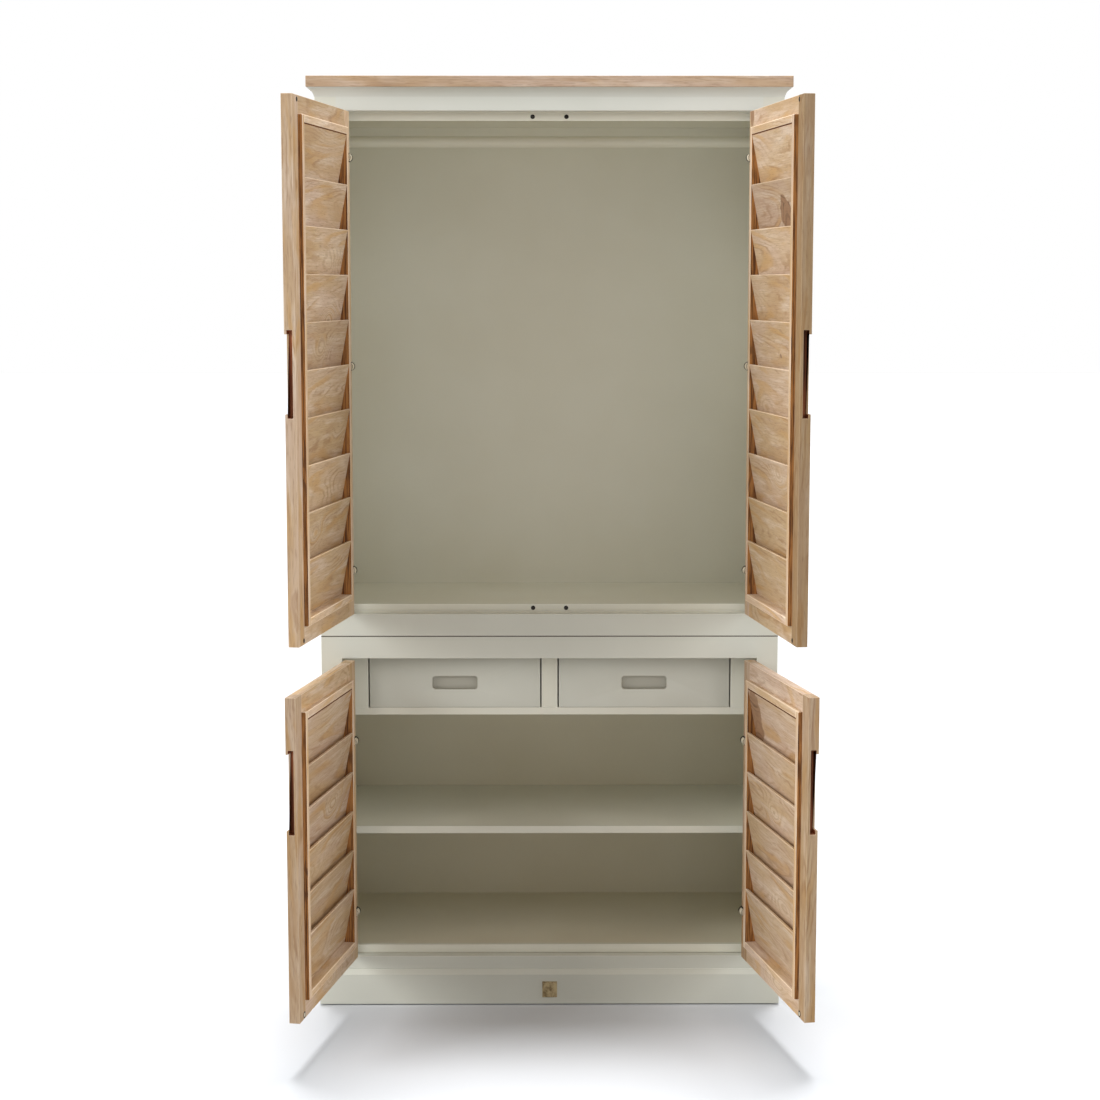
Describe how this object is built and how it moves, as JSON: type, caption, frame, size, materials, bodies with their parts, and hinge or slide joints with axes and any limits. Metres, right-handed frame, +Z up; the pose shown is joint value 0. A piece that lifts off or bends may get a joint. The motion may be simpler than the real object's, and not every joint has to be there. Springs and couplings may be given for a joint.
{
  "type": "wardrobe",
  "caption": "Tall painted wardrobe in an upper and a lower cupboard, with louvred wooden doors, a hanging rail, a shelf and drawers.",
  "frame": {"origin": "on the floor, under the middle of the carcass, at the foot of the middle glide", "axes": "+X to the right as one faces the doors, +Y to the back, +Z up"},
  "size_m": [1.2351, 1.0936, 2.361],
  "materials": {
    "mango_wood": "limed and waxed mango wood",
    "painted_wood": "satin off-white paint",
    "drawer_wood": "painted drawer box",
    "bare_wood": "bare beech dowel",
    "nickel": "nickel plate",
    "aged_brass": "aged brass",
    "glide_plastic": "dark plastic"
  },
  "bodies": {
    "carcass": {"top_plank": "mango_wood", "crown_cove": "painted_wood", "frieze_rail": "painted_wood", "upper_stiles": "painted_wood", "upper_bottom_rail": "painted_wood", "upper_sides": "painted_wood", "upper_back": "painted_wood", "ceiling_board": "painted_wood", "upper_floor": "painted_wood", "upper_stops": "painted_wood", "lower_stop": "painted_wood", "stop_magnets": "nickel", "clothes_rail": "painted_wood", "rail_sockets": "painted_wood", "lower_deck": "painted_wood", "lower_rails": "painted_wood", "lower_stiles": "painted_wood", "lower_sides": "painted_wood", "lower_back": "painted_wood", "lower_floor": "painted_wood", "shelf": "painted_wood", "shelf_pins": "nickel", "cabinet_dowels": "bare_wood", "drawer_support": "painted_wood", "drawer_divider": "painted_wood", "drawer_guides": "painted_wood", "plinth": "painted_wood", "glides": "glide_plastic", "blank_plate": "aged_brass", "hinge_frame_leaves": "nickel", "hinge_pins": "nickel"},
    "upper_left_door": {"upper_left_stiles": "mango_wood", "upper_left_rails": "mango_wood", "upper_left_louvre_frame": "mango_wood", "upper_left_slats": "mango_wood", "upper_left_fittings": "nickel"},
    "upper_right_door": {"upper_right_stiles": "mango_wood", "upper_right_rails": "mango_wood", "upper_right_louvre_frame": "mango_wood", "upper_right_slats": "mango_wood", "upper_right_fittings": "nickel"},
    "lower_left_door": {"lower_left_stiles": "mango_wood", "lower_left_rails": "mango_wood", "lower_left_louvre_frame": "mango_wood", "lower_left_slats": "mango_wood", "lower_left_fittings": "nickel"},
    "lower_right_door": {"lower_right_stiles": "mango_wood", "lower_right_rails": "mango_wood", "lower_right_louvre_frame": "mango_wood", "lower_right_slats": "mango_wood", "lower_right_fittings": "nickel"},
    "left_drawer": {"left_drawer_front": "painted_wood", "left_drawer_sides": "drawer_wood", "left_drawer_back": "drawer_wood", "left_drawer_bottom": "drawer_wood"},
    "right_drawer": {"right_drawer_front": "painted_wood", "right_drawer_sides": "drawer_wood", "right_drawer_back": "drawer_wood", "right_drawer_bottom": "drawer_wood"}
  },
  "joints": [
    {"name": "upper_left_hinge", "type": "hinge", "parent": "carcass", "child": "upper_left_door", "pos_m": [-0.5265, -0.288, 1.649], "axis": [0, 0, -1], "range_deg": [-99.1, 10.9]},
    {"name": "upper_right_hinge", "type": "hinge", "parent": "carcass", "child": "upper_right_door", "pos_m": [0.5265, -0.288, 1.649], "axis": [0, 0, 1], "range_deg": [-97.8, 12.2]},
    {"name": "lower_left_hinge", "type": "hinge", "parent": "carcass", "child": "lower_left_door", "pos_m": [-0.5265, -0.288, 0.517], "axis": [0, 0, -1], "range_deg": [-100.3, 9.7]},
    {"name": "lower_right_hinge", "type": "hinge", "parent": "carcass", "child": "lower_right_door", "pos_m": [0.5265, -0.288, 0.517], "axis": [0, 0, 1], "range_deg": [-101.2, 8.8]},
    {"name": "left_drawer_slide", "type": "slide", "parent": "carcass", "child": "left_drawer", "axis": [0, -1, 0], "range_m": [0, 0.33]},
    {"name": "right_drawer_slide", "type": "slide", "parent": "carcass", "child": "right_drawer", "axis": [0, -1, 0], "range_m": [0, 0.33]}
  ]
}
